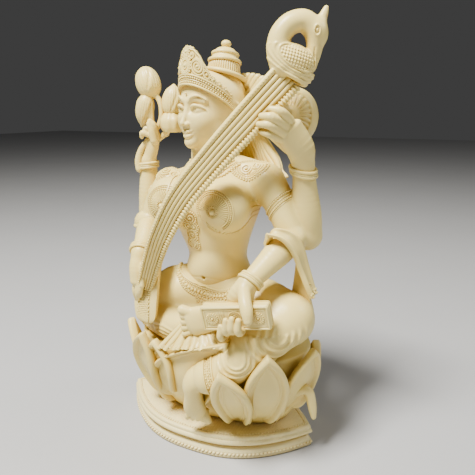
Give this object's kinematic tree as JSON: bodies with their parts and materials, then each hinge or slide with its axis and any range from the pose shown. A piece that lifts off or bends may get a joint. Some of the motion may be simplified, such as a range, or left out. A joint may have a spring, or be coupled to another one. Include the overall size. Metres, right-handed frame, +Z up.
{
  "type": "seated deity figurine",
  "caption": "Seated many-armed goddess figurine playing a long lute, on a lotus seat and a pointed-oval tiered plinth, for a shelf or household shrine.",
  "frame": {"origin": "centre of the plinth's underside, in the plane that the figurine stands on", "axes": "+Z up, -Y the way the figure faces, +X towards the figure's left hand side"},
  "size_m": [0.119, 0.0876, 0.2197],
  "materials": {
    "ivory_marble": "cast marble-dust resin in warm ivory, satin, slightly translucent, honey coloured in the deep folds",
    "pale_ivory_marble": "the same casting a little paler, less stained, satin"
  },
  "bodies": {
    "root": {"plinth_lower_tier": "pale_ivory_marble", "plinth_upper_tier": "ivory_marble", "lotus_seat": "ivory_marble", "draped_legs": "ivory_marble", "torso": "ivory_marble", "head": "ivory_marble", "tiara": "ivory_marble", "crown": "ivory_marble", "crown_finial": "ivory_marble", "halo_fan": "ivory_marble", "hair_fall": "ivory_marble", "right_foot": "ivory_marble", "left_foot": "ivory_marble", "skirt_pleats": "ivory_marble", "book": "ivory_marble", "veena_neck": "ivory_marble", "veena_swan_head": "ivory_marble", "upper_gourd": "ivory_marble", "lotus_bud_upright": "ivory_marble", "lotus_bud_hanging": "ivory_marble", "lotus_bud_side": "ivory_marble", "lotus_leaf": "ivory_marble", "shawl_left_end": "ivory_marble", "shawl_right_end": "ivory_marble", "front_left_upper_arm": "ivory_marble", "front_right_upper_arm": "ivory_marble", "rear_left_upper_arm": "ivory_marble", "rear_right_upper_arm": "ivory_marble", "front_left_forearm": "ivory_marble", "front_right_forearm": "ivory_marble", "rear_left_forearm": "ivory_marble", "rear_right_forearm": "ivory_marble", "front_left_bangle": "ivory_marble", "front_right_bangle": "ivory_marble", "rear_left_bangle": "ivory_marble", "rear_right_bangle": "ivory_marble"}
  },
  "joints": []
}
